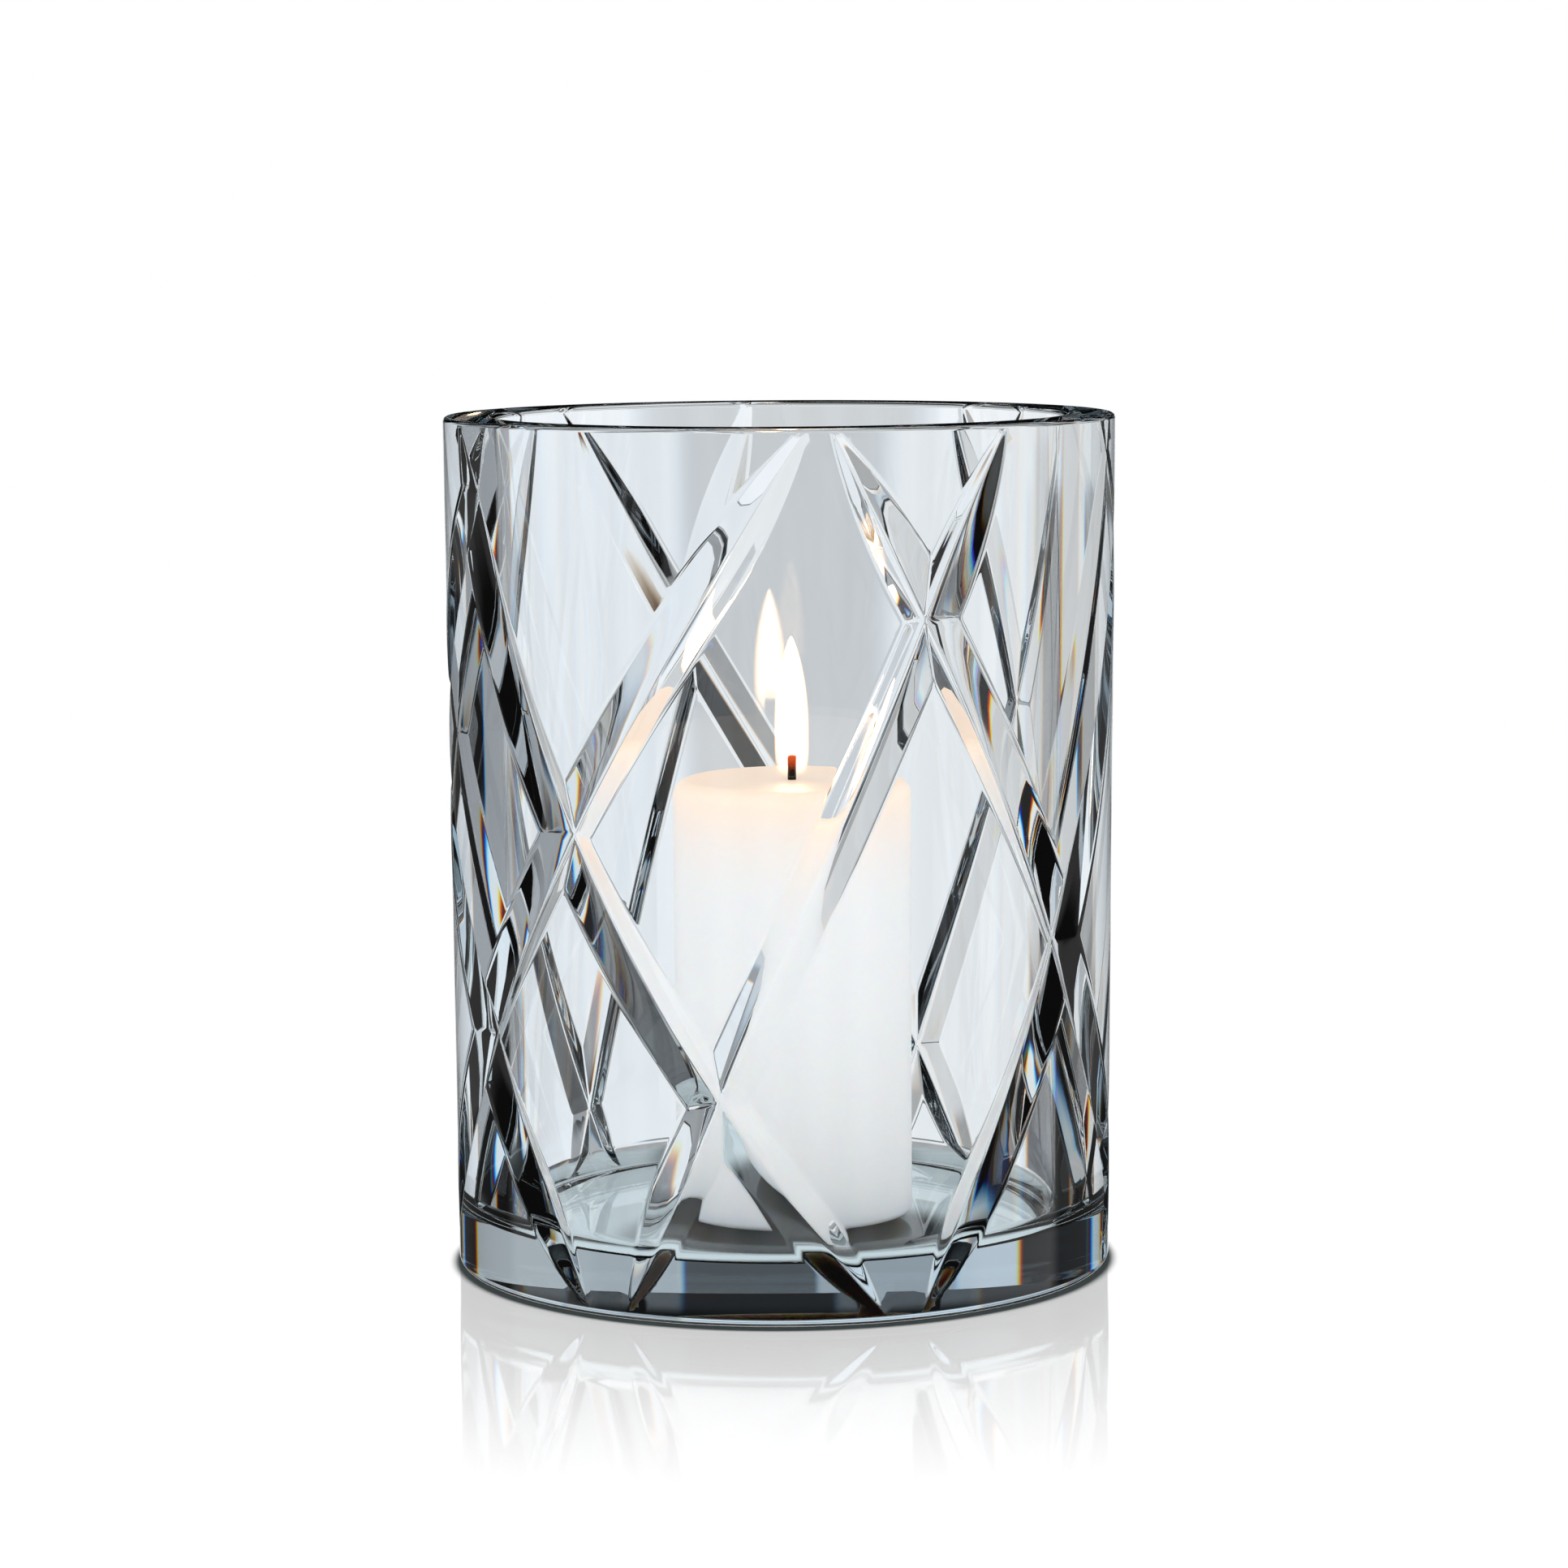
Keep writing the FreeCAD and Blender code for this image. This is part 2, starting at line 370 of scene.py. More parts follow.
def cut_wall(v, low, high):
    """The cut wall between two rings: its sites are triangulated on a flat ring, with radius exp(z / R)
    and angle -azimuth, which keeps their angles, and then lifted to the wall's own radius."""
    ring = np.arange(v.columns) * 2 * np.pi / v.columns
    row_a, row_h, row_pairs = cut_rows(v)
    groups = [(ring, np.full(v.columns, low), None), (ring, np.full(v.columns, high), None)]
    groups += [(row_a, row_h, row_pairs)] + mitres(v) + [(*open_wall(v, low, high), None)]
    circle = np.stack([np.arange(v.columns), np.roll(np.arange(v.columns), -1)], 1)
    azimuths, heights, pairs, count = [], [], [circle, circle + v.columns], 0
    for azimuth, height, links in groups:
        azimuths.append(azimuth)
        heights.append(height)
        if links is not None:
            pairs.append(links + count)
        count += len(azimuth)
    azimuth, height, pairs = np.concatenate(azimuths), np.concatenate(heights), np.concatenate(pairs)
    inside = (height > low + RING_MARGIN) & (height < high - RING_MARGIN)
    inside[: 2 * v.columns] = True
    number = np.cumsum(inside) - 1
    pairs = number[pairs[inside[pairs].all(1)]]
    azimuth, height = azimuth[inside], height[inside]
    spread = np.exp(height / v.rim_radius)
    flat = np.stack([spread * np.cos(azimuth), -spread * np.sin(azimuth)], 1)
    nil = 1e-6
    sites, _, faces, origins, _, _ = delaunay_2d_cdt(flat.tolist(), pairs.tolist(), [], 0, nil)
    flat = np.array([tuple(site) for site in sites])
    height = v.rim_radius * np.log(np.hypot(flat[:, 0], flat[:, 1]))
    azimuth = np.arctan2(-flat[:, 1], flat[:, 0])
    place = np.zeros(len(inside), int)
    merged = [len(origin) for origin in origins]
    place[list(chain.from_iterable(origins))] = np.repeat(np.arange(len(origins)), merged)
    faces = np.array(faces)
    faces = faces[(height[faces] > low + nil).any(1)]
    points, normals = wall_points(v, azimuth, height)
    return points, normals, faces, place[: v.columns], place[v.columns : 2 * v.columns]


def arc(centre, radius, start, end, count):
    """Points (radius, height) on an arc and the outward directions there, for angles in degrees."""
    turn = np.radians(np.linspace(start, end, count))
    out = np.stack([np.cos(turn), np.sin(turn)], 1)
    return np.array(centre) + radius * out, out


def line(start, end, count, out):
    """Points on a straight piece of a profile, with one outward direction, without the two ends."""
    share = np.linspace(0, 1, count + 2)[1:-1, None]
    points = np.array(start) * (1 - share) + np.array(end) * share
    return points, np.repeat(np.array([out], float), count, 0)


def turned(profile, columns, centre=(0, 0, 0)):
    """A profile (points and directions) carried round the axis: rings of points and normals."""
    points = np.concatenate([p for p, _ in profile])
    outs = np.concatenate([o for _, o in profile])
    azimuth = np.arange(columns) * 2 * np.pi / columns
    spin = np.stack([np.sin(azimuth), -np.cos(azimuth)], 1)
    place = np.concatenate([points[:, None, :1] * spin, np.repeat(points[:, None, 1:], columns, 1)], 2)
    normal = np.concatenate([outs[:, None, :1] * spin, np.repeat(outs[:, None, 1:], columns, 1)], 2)
    return (place + np.array(centre)).reshape(-1, 3), normal.reshape(-1, 3)


def ring_faces(rings, columns, first=0):
    """Quads between neighbouring rings of points, numbered from first."""
    low = first + np.arange(rings - 1)[:, None] * columns + np.arange(columns)
    next_low = first + np.arange(rings - 1)[:, None] * columns + np.roll(np.arange(columns), -1)
    return np.stack([low, next_low, next_low + columns, low + columns], -1).reshape(-1, 4)


def fan(ring, hub, upward):
    """Triangles from a ring of point numbers to one hub."""
    ends = np.roll(ring, -1)
    order = (ring, ends) if upward else (ends, ring)
    return np.stack([*order, np.full(len(ring), hub)], 1)


def capped(points, columns, low, high):
    """Rings of points round the candle's axis, closed by a hub at the low and at the high end."""
    count = len(points)
    ring = np.arange(columns)
    hubs = np.array([low, high]) + CANDLE_AXIS
    fans = np.concatenate([fan(ring, count, False), fan(count - columns + ring, count + 1, True)])
    return np.concatenate([points, hubs]), ring_faces(count // columns, columns).tolist() + fans.tolist()


def add_piece(name, points, faces, normals, body, nodes):
    """Puts arrays into a mesh object, smooth-shaded, that rides on a body and stands for CAD nodes."""
    mesh = bpy.data.meshes.new(name)
    mesh.from_pydata(points.tolist(), [], faces)
    mesh.shade_smooth()
    if normals is not None:
        mesh.normals_split_custom_set_from_vertices(normals.tolist())
    piece = bpy.data.objects.new(name, mesh)
    bpy.context.scene.collection.objects.link(piece)
    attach(piece, body)
    if nodes:
        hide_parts(*nodes)
    return piece


def vessel_mesh(v):
    """The whole vessel as one closed skin: the underside, the cut wall, the rim, the bore and the floor."""
    low = v.foot_round
    high = v.height - v.rim_outer_round
    wall, wall_normals, wall_faces, foot_ring, rim_ring = cut_wall(v, low, high)
    foot, rim = outer_radius(v, low), outer_radius(v, high)
    mouth = v.rim_radius - v.rim_wall
    base = v.foot_radius - v.foot_wall
    lip, sole = v.rim_inner_round, v.floor_round
    lean = math.atan2(mouth - base, v.height - v.floor)
    inward = (-math.cos(lean), math.sin(lean))
    hollow, hollow_out = arc((base - sole, v.floor + sole), sole, 0, -90, 12)
    # Both rounded edges stop 9 degrees short of the wall, whose own end rings close them
    under = [
        line((0, 0), (foot - low, 0), 3, (0, -1)),
        arc((foot - low, low), low, -90, -9, 8),
    ]
    over = [
        arc((rim - v.rim_outer_round, high), v.rim_outer_round, 9, 90, 8),
        line((rim - v.rim_outer_round, v.height), (mouth + lip, v.height), 2, (0, 1)),
        arc((mouth + lip, v.height - lip), lip, 90, 180, 9),
        line((mouth, v.height - lip), (base, v.floor + sole), 10, inward),
        (hollow, -hollow_out),
        line((base - sole, v.floor), (0, v.floor), 4, (0, 1)),
    ]
    under_points, under_normals = turned(under, v.columns)
    over_points, over_normals = turned(over, v.columns)
    rings_under = len(under_points) // v.columns
    rings_over = len(over_points) // v.columns
    start_under = len(wall)
    start_over = start_under + len(under_points)
    hub = start_over + len(over_points)
    points = np.concatenate([wall, under_points, over_points, [(0, 0, 0), (0, 0, v.floor)]])
    normals = np.concatenate([wall_normals, under_normals, over_normals, [(0, 0, -1), (0, 0, 1)]])
    ring = np.arange(v.columns)
    last_under = start_under + (rings_under - 1) * v.columns + ring
    last_over = start_over + (rings_over - 1) * v.columns + ring
    joints = [
        np.stack([last_under, np.roll(last_under, -1), np.roll(foot_ring, -1), foot_ring], 1),
        np.stack([rim_ring, np.roll(rim_ring, -1), np.roll(start_over + ring, -1), start_over + ring], 1),
    ]
    turned_faces = [
        ring_faces(rings_under, v.columns, start_under),
        ring_faces(rings_over, v.columns, start_over),
    ]
    quads = np.concatenate(turned_faces + joints)
    fans = np.concatenate([fan(start_under + ring, hub, False), fan(last_over, hub + 1, True)])
    return points, quads.tolist() + np.concatenate([wall_faces, fans]).tolist(), normals


class Value:
    """A socket of a node tree. Arithmetic on it adds Math nodes."""

    def __init__(self, tree, socket):
        self.tree = tree
        self.socket = socket

    def math(self, operation, *values):
        """One Math node on these values."""
        return self.tree.node("ShaderNodeMath", {"operation": operation}, dict(enumerate(values)))

    def __add__(self, other):
        return self.math("ADD", self, other)

    def __sub__(self, other):
        return self.math("SUBTRACT", self, other)

    def __rsub__(self, other):
        return self.math("SUBTRACT", other, self)

    def __mul__(self, other):
        return self.math("MULTIPLY", self, other)

    def __truediv__(self, other):
        return self.math("DIVIDE", self, other)

    def __pow__(self, other):
        return self.math("POWER", self, other)

    __radd__ = __add__
    __rmul__ = __mul__

    def ramp(self, low, high, start=0.0, end=1.0):
        """A smooth step from start to end as the value goes from low to high."""
        settings = {"interpolation_type": "SMOOTHSTEP", "clamp": True}
        inputs = {"Value": self, "From Min": low, "From Max": high, "To Min": start, "To Max": end}
        return self.tree.node("ShaderNodeMapRange", settings, inputs)

    def between(self, low, high, soft):
        """One inside a band, zero outside it, over soft edges."""
        return self.ramp(low - soft, low + soft) * self.ramp(high - soft, high + soft, 1.0, 0.0)


class Shades:
    """The node tree of a material or of the world."""

    def __init__(self, tree):
        self.nodes = tree.nodes
        self.links = tree.links
        self.nodes.clear()

    def node(self, kind, settings=None, inputs=None, out=0):
        """Any node: its settings, then the values or links of its sockets. Gives one of its outputs."""
        made = self.nodes.new(kind)
        for name, value in (settings or {}).items():
            setattr(made, name, value)
        for name, value in (inputs or {}).items():
            if isinstance(value, Value):
                self.links.new(value.socket, made.inputs[name])
            else:
                made.inputs[name].default_value = value
        return Value(self, made.outputs[out]) if made.outputs else None

    def mix(self, share, first, second):
        """A mix of two colours."""
        inputs = {"Factor": share, 6: first, 7: second}
        return self.node("ShaderNodeMix", {"data_type": "RGBA"}, inputs, 2)

    def vector(self, operation, *values):
        """One Vector Math node on these vectors."""
        return self.node("ShaderNodeVectorMath", {"operation": operation}, dict(enumerate(values)))

    def steps(self, vector, low, high, start=0.0, end=1.0):
        """A smooth step from start to end of every part of a vector."""
        settings = {"data_type": "FLOAT_VECTOR", "interpolation_type": "SMOOTHSTEP", "clamp": True}
        limits = {7: (low,) * 3, 8: (high,) * 3, 9: (start,) * 3, 10: (end,) * 3}
        return self.node("ShaderNodeMapRange", settings, {6: vector, **limits}, 1)

    def band(self, vector, low, high, soft=0.7):
        """One where a part of a vector is inside a band, zero outside it, over soft edges."""
        inward = self.steps(vector, low - soft, low + soft)
        return self.vector("MULTIPLY", inward, self.steps(vector, high - soft, high + soft, 1.0, 0.0))

    def blend(self, share, first, second):
        """A mix of two shaders."""
        return self.node("ShaderNodeMixShader", None, {0: share, 1: first, 2: second})

    def point(self):
        """The object coordinates as one vector."""
        return self.node("ShaderNodeTexCoord", out="Object")

    def place(self):
        """The object coordinates x, y and z."""
        point = self.point()
        return [self.node("ShaderNodeSeparateXYZ", None, {0: point}, axis) for axis in range(3)]

    def surface(self, shader):
        """The end of a material's tree."""
        self.node("ShaderNodeOutputMaterial", None, {"Surface": shader})


def shade(name):
    """A new material and its node tree."""
    material = bpy.data.materials.new(name)
    material.use_nodes = True
    return material, Shades(material.node_tree)


def rgba(colour):
    """A colour with full alpha."""
    return (*colour, 1.0)


def distance(x, y):
    """The distance (x^2 + y^2)^0.5 of a surface from an upright axis."""
    return (x * x + y * y) ** 0.5


def smoke_glass(v):
    """Clear polished glass whose tint deepens with the length of glass that light goes through.
    The floor inside hardly mirrors the candle."""
    material, tree = shade("smoke_glass")
    body = tree.node(
        "ShaderNodeBsdfPrincipled",
        None,
        {
            "Base Color": WHITE,
            "Roughness": 0.0,
            "IOR": v.bending,
            "Transmission Weight": 1.0,
        },
    )
    x, y, z = tree.place()
    bore = v.foot_radius - v.foot_wall
    inside = distance(x, y).ramp(bore - v.floor_round, bore, 1.0, 0.0)
    floor = z.between(v.floor - MILLIMETRE, v.floor + MILLIMETRE, MILLIMETRE / 2) * inside
    dull = tree.node("ShaderNodeBsdfRefraction", None, {"Roughness": 0.0, "IOR": v.bending})
    surface = tree.blend(floor * 0.85, body, dull)
    depth = tree.node("ShaderNodeVolumeAbsorption", None, {"Color": rgba(v.tint), "Density": v.density})
    tree.node("ShaderNodeOutputMaterial", None, {"Surface": surface, "Volume": depth})
    return material


def white_wax(c):
    """Paraffin: cloudy white, with the flame's light painted in from the top as a warm tint and a faint
    glow.
    """
    material, tree = shade("white_wax")
    point = tree.point()
    z = tree.place()[2]
    cloud = tree.node("ShaderNodeTexNoise", None, {"Vector": point, "Scale": 60.0, "Detail": 4.0})
    grain = tree.node("ShaderNodeTexNoise", None, {"Vector": point, "Scale": 900.0, "Detail": 2.0})
    # Painted light: the flame's light is painted into the wax's colour and, as a faint emission glow, fades
    # down over the soak length
    soak = (z - (WAX_HIGH.z - c.soak)) / c.soak
    soak = soak.math("MAXIMUM", soak, 0.0) ** 2
    colour = tree.mix(cloud * 0.12, rgba(c.wax), (0.8, 0.8, 0.81, 1))
    colour = tree.mix(soak * 0.8, colour, rgba(c.flame_lit_wax))
    glow = tree.mix(soak, BLACK, rgba(c.glow))
    bump = tree.node("ShaderNodeBump", None, {"Strength": 0.08, "Distance": 0.0004, "Height": grain})
    body = tree.node(
        "ShaderNodeBsdfPrincipled",
        None,
        {
            "Base Color": colour,
            "Roughness": 0.42 + grain * 0.1,
            "Subsurface Weight": 0.6,
            "Subsurface Radius": (0.012, 0.008, 0.005),
            "Subsurface Scale": 1.0,
            "Normal": bump,
            "Emission Color": glow,
            # Painted glow of the flame's light in the wax
            "Emission Strength": 0.22,
        },
    )
    tree.surface(body)
    return material


def burnt_cotton(wax_top, tip):
    """Braided cotton: pale in the wax, black above it, and glowing red at its tip."""
    material, tree = shade("burnt_cotton")
    z = tree.place()[2]
    noise = {"Vector": tree.point(), "Scale": 2500.0, "Detail": 3.0}
    crumbs = tree.node("ShaderNodeTexNoise", None, noise)
    burnt = z.ramp(wax_top - 0.001, wax_top + 0.0004)
    ember = (z + crumbs * 0.002).ramp(tip - 0.0035, tip + 0.0008)
    colour = tree.mix(burnt, (0.75, 0.68, 0.55, 1), (0.008, 0.006, 0.005, 1))
    bump = tree.node("ShaderNodeBump", None, {"Strength": 0.5, "Distance": 0.0003, "Height": crumbs})
    body = tree.node(
        "ShaderNodeBsdfPrincipled",
        None,
        {
            "Base Color": colour,
            "Roughness": 0.95,
            "Specular IOR Level": 0.1,
            "Normal": bump,
            "Emission Color": tree.mix(ember, BLACK, (0.8, 0.09, 0.012, 1)),
            "Emission Strength": 1.0,
        },
    )
    tree.surface(body)
    return material


def tinned_steel():
    """Bright tin plate with fine rolling lines."""
    material, tree = shade("tinned_steel")
    along = {"Vector": tree.point(), "Scale": (4000.0, 120.0, 120.0)}
    stretched = tree.node("ShaderNodeMapping", None, along)
    lines = tree.node("ShaderNodeTexNoise", None, {"Vector": stretched, "Scale": 1.0, "Detail": 3.0})
    body = tree.node(
        "ShaderNodeBsdfPrincipled",
        None,
        {
            "Base Color": tree.mix(lines, (0.62, 0.62, 0.63, 1), (0.78, 0.78, 0.79, 1)),
            "Roughness": 0.24 + lines * 0.16,
            "Metallic": 1.0,
        },
    )
    tree.surface(body)
    return material


def flame_light(c, base, tip):
    """The flame: white-hot inside, amber and thinning out towards its edge, clear before the wick."""
    material, tree = shade("flame_light")
    share = (tree.place()[2] - base) / (tip - base)
    facing = tree.node("ShaderNodeLayerWeight", None, {"Blend": 0.5}, 1)
    core = 1.0 - facing
    rise = share.ramp(0.03, 0.28) * 0.98 + share.ramp(0.0, 0.06) * 0.02
    hollow = core.ramp(0.91, 0.965) * share.ramp(0.16, 0.23, 1.0, 0.0)
    body = tree.node(
        "ShaderNodeBsdfPrincipled",
        None,
        {
            "Base Color": BLACK,
            "Roughness": 1.0,
            "Specular IOR Level": 0.0,
            "Emission Color": tree.mix(core.ramp(0.1, 0.9), rgba(c.flame_edge), rgba(c.flame)),
            "Emission Strength": c.flame_strength,
            "Alpha": core**3 * rise * (1.0 - hollow),
        },
    )
    tree.surface(body)
    return material


class LANTERN_OT_vessel(bpy.types.Operator):
    """Build the cut-glass vessel."""

    bl_idname = "lantern.vessel"
    bl_label = "Glass vessel"

    def execute(self, context):
        v = context.scene.lantern_vessel
        points, faces, normals = vessel_mesh(v)
        piece = add_piece(
            "cut_glass_vessel", points, faces, normals, "vessel", ["glass_vessel"]
        )
        piece.data.materials.append(smoke_glass(v))
        return {"FINISHED"}


def pillar_profile(c, low, high):
    """Half profile of the pillar from its foot to the wick: rounded edges and a shallow dish."""
    r, edge, foot = c.radius, c.edge_round, c.foot_round
    share = np.linspace(0, 1, 24)[1:-1, None]
    dish_r = c.melt_radius * (1 - share)
    dish = np.concatenate([dish_r, high - c.melt_depth * (1 - (dish_r / c.melt_radius) ** 2)], 1)
    flat = np.zeros_like(dish)
    return [
        line((0, low), (r - foot, low), 6, (0, -1)),
        arc((r - foot, low + foot), foot, -90, 0, 8),
        line((r, low + foot), (r, high - edge), 60, (1, 0)),
        arc((r - edge, high - edge), edge, 0, 90, 16),
        line((r - edge, high), (c.melt_radius, high), 3, (0, 1)),
        (dish, flat),
    ]


class LANTERN_OT_candle(bpy.types.Operator):
    """Build the wax pillar."""

    bl_idname = "lantern.candle"
    bl_label = "Candle"

    def execute(self, context):
        c = context.scene.lantern_candle
        columns = 160
        points, _ = turned(pillar_profile(c, WAX_LOW.z, WAX_HIGH.z), columns, CANDLE_AXIS)
        points, faces = capped(points, columns, (0, 0, WAX_LOW.z), (0, 0, WAX_HIGH.z - c.melt_depth))
        piece = add_piece("pillar_candle", points, faces, None, "candle", ["candle_wax"])
        piece.data.materials.append(white_wax(c))
        return {"FINISHED"}


def wick_mesh(c, low, high):
    """A round braid of radius R (1 - d |sin(1.5 a + k z)| |sin(1.5 a - k z)|), times (u (2 - u))^0.5 at
    its tip, where u is the share of the rounding below the tip."""
    columns, rings = 24, 400
    turn = np.arange(columns)[None, :] * 2 * np.pi / columns
    height = low + (high - low) * np.linspace(0, 1, rings)[:, None]
    strand, other = 1.5 * turn + height * c.braid_twist, 1.5 * turn - height * c.braid_twist
    braid = 1 - c.braid_depth * np.abs(np.sin(strand)) * np.abs(np.sin(other))
    from_tip = np.clip((high - height) / c.wick_tip, 0, 1)
    radius = c.wick_radius * braid * np.maximum(np.sqrt(from_tip * (2 - from_tip)), 0.02)
    burnt = high - WAX_HIGH.z
    lean = c.wick_lean * np.clip((height - WAX_HIGH.z) / burnt, 0, 1) ** 2
    place = [radius * np.sin(turn) + lean, -radius * np.cos(turn), np.broadcast_to(height, radius.shape)]
    points = np.stack(place, 2).reshape(-1, 3) + CANDLE_AXIS
    return capped(points, columns, (0, 0, low), (c.wick_lean, 0, high))


class LANTERN_OT_wick(bpy.types.Operator):
    """Build the braided wick and finish its sustainer."""

    bl_idname = "lantern.wick"
    bl_label = "Wick"

    def execute(self, context):
        c = context.scene.lantern_candle
        points, faces = wick_mesh(c, WICK_LOW.z + c.wick_foot, WICK_HIGH.z)
        piece = add_piece("braided_wick", points, faces, None, "candle", ["wick"])
        piece.data.materials.append(burnt_cotton(WAX_HIGH.z - c.melt_depth, WICK_HIGH.z))
        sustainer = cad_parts["wick_sustainer"]
        sustainer.data.materials.clear()
        sustainer.data.materials.append(tinned_steel())
        return {"FINISHED"}


def flame_mesh(c, base):
    """A flame of radius R sin(pi/2 u^0.75), where u is the share of the taper below the tip, drawn in
    a little over its lowest fifth."""
    columns, rings = 48, 88
    share = np.linspace(0, 1, rings + 2)[1:-1]
    from_tip = np.minimum((1 - share) * c.flame_height / c.flame_taper, 1)
    radius = c.flame_radius * np.sin(np.pi / 2 * from_tip**0.75)
    radius *= 1 - 0.12 * np.clip(1 - share / 0.2, 0, 1) ** 2
    profile = [(np.stack([radius, base + c.flame_height * share], 1), np.zeros((rings, 2)))]
    points, _ = turned(profile, columns, CANDLE_AXIS)
    return capped(points, columns, (0, 0, base), (0, 0, base + c.flame_height))


class LANTERN_OT_flame(bpy.types.Operator):
    """Build the flame and its light."""

    bl_idname = "lantern.flame"
    bl_label = "Flame"

    def execute(self, context):
        c = context.scene.lantern_candle
        base = WAX_HIGH.z - c.melt_depth + c.flame_lift
        points, faces = flame_mesh(c, base)
        piece = add_piece("flame", points, faces, None, "candle", None)
        piece.data.materials.append(flame_light(c, base, base + c.flame_height))
        piece.visible_diffuse = False
        return {"FINISHED"}


# What the glass sees round it: from and to in degrees right of the view, from and to in degrees up,
# and a brightness. Later panels stand in front of earlier ones.
PANELS = [
    (-60, -26, -28, 24, 0.38),
    (-48, -26, 2.2, 10.5, 0.75),
    (-26, 20, -28, 24, 1.0),
    (20, 30, -28, 24, 0.78),
    (30, 41, -28, 24, 0.92),
    (41, 54, -28, 24, 0.74),
    (54, 67, -2.5, 4.5, 0.75),
    (67, 76, -2.5, 0.3, 0.65),
    (67, 76, 0.3, 3, 0.0),
    (-60, 76, -28, -17.5, 0.47),
    (54, 76, -20.3, -4, 0.0),
    (41, 62, -20.3, -9.6, 0.02),
    (50, 70, -28, -24, 0.02),
    (24, 36, -9.7, -4, 0.4),
    (20, 44, -12, -9.7, 0.18),
    (36, 40.5, -8, -6, 0.03),
    (-38, -12, -22, -14.6, 0.1),
    (-46, -36, -19, -15, 0.0),
    (-60, -44, -28, -16, 0.0),
    (-57, -43, -14, -9.8, 0.0),
    (-40, -24, -8.2, -5.8, 0.0),
    (-3.5, 3.8, -9, -1, 0.72),
    (-6, 12, -14, -12, 0.17),
    (12, 20, 3, 8.5, 0.45),
    (-60, -34, 10.5, 20, 0.02),
    (-34, -22, 10.5, 20, 0.8),
    (-22, -4, 10.5, 20, 0.5),
    (-4, 12, 10.5, 20, 0.13),
    (12, 63, 10.5, 20, 0.6),
    (63, 76, 10.5, 20, 0.0),
]

# How much more or less than green the glass bends red, green and blue
SPREAD = (-0.015, 0.0, 0.015)

# Degrees below level at which the colours aren't spread upwards or downwards
LEVEL = 7.0

# Width in degrees of a pale and a dark stripe together, outside the panels
STRIPE = 18.0


def studio_panels(tree, turn, rise):
    """The studio that the glass shows: panels behind the lantern and stripes round them, dimmer behind
    the camera. Red, green and blue see the edges at slightly different angles, as after a prism."""
    side = turn.math("ABSOLUTE", turn)
    turns = tree.vector("MULTIPLY_ADD", turn * side.ramp(75, 105, 1.0, 0.0), SPREAD, turn)
    rises = tree.vector("MULTIPLY_ADD", rise + LEVEL, SPREAD, rise)
    waves = tree.vector("SINE", tree.vector("MULTIPLY", turns, (2 * math.pi / STRIPE,) * 3))
    stripes = tree.steps(waves, -0.3, 0.6, 0.02, 0.9)
    studio = tree.vector("MULTIPLY", stripes, side.ramp(100, 125, 1.0, 0.4))
    for left, right, low, high, level in PANELS:
        panel = tree.vector("MULTIPLY", tree.band(turns, left, right), tree.band(rises, low, high))
        settings = {"data_type": "VECTOR", "factor_mode": "NON_UNIFORM"}
        studio = tree.node("ShaderNodeMix", settings, {1: panel, 4: studio, 5: (level,) * 3}, 1)
    tone = tree.mix(turn.ramp(-45, 45), (0.92, 0.98, 1.04, 1), (0.99, 1.0, 1.0, 1))
    return tree.vector("MULTIPLY", studio, tone)


def studio_world(s):
    """White for the camera, an even soft light on what is matt, a few bright bands for what is mirrored
    and the studio for what is seen through the glass."""
    world = bpy.data.worlds.new("studio")
    bpy.context.scene.world = world
    world.use_nodes = True
    tree = Shades(world.node_tree)
    ray = tree.node("ShaderNodeTexCoord")
    x, y, z = [tree.node("ShaderNodeSeparateXYZ", None, {0: ray}, axis) for axis in range(3)]
    turn = x.math("ARCTAN2", x, y) * math.degrees(1)
    rise = z.math("ARCSINE", z) * math.degrees(1)
    camera, glossy, through, matt = [
        tree.node("ShaderNodeLightPath", out=name)
        for name in ("Is Camera Ray", "Is Glossy Ray", "Is Transmission Ray", "Diffuse Depth")
    ]
    matt = matt.math("MINIMUM", matt, 1.0)
    side = turn.math("ABSOLUTE", turn)
    shine = 0.08 + side.ramp(10, 14, 0.92, 0.0) + side.between(70, 110, 4) * 0.5
    inner = through * matt * (s.inner_light - s.soft_light)
    plain = s.soft_light + camera * (1.0 - s.soft_light) + inner
    plain = plain + glossy * (1.0 - matt) * (shine - plain)
    colour = tree.mix(through * (1.0 - matt), plain, studio_panels(tree, turn, rise))
    background = tree.node("ShaderNodeBackground", None, {"Color": colour, "Strength": 1.0})
    tree.node("ShaderNodeOutputWorld", None, {"Surface": background})


def pale_floor(v):
    """A white table top that keeps shadows and mirrors what stands on it, less so further out. A painted
    contact shadow darkens it under the foot."""
    material, tree = shade("pale_floor")
    x, y, _ = tree.place()
    reach = distance(x, y)
    camera = tree.node("ShaderNodeLightPath", out="Is Camera Ray")
    # Painted shadow: a dark ring under the foot is painted into the floor's diffuse colour and its white
    # emission, fading out 3 mm beyond the foot; the mirror fades with it
    beyond_painted_shadow = reach.ramp(v.foot_radius, v.foot_radius + 0.003)
    floor_and_painted_shadow = tree.mix(beyond_painted_shadow, (0.1, 0.11, 0.11, 1), (0.9, 0.9, 0.9, 1))
    lit = tree.node("ShaderNodeBsdfDiffuse", None, {"Color": floor_and_painted_shadow})
    glow = tree.mix(beyond_painted_shadow, (0.04, 0.05, 0.05, 1), (1.1, 1.1, 1.1, 1))
    white = tree.node("ShaderNodeEmission", None, {"Color": glow})
    mirror = tree.node("ShaderNodeBsdfGlossy", None, {"Color": WHITE, "Roughness": 0.04})
    plain = tree.blend(camera * reach.ramp(0.2, 0.5, 0.8, 1.0), lit, white)
    shine = camera * reach.ramp(0.08, 0.26, 0.4, 0.0) * beyond_painted_shadow
    tree.surface(tree.blend(shine, plain, mirror))
    return material


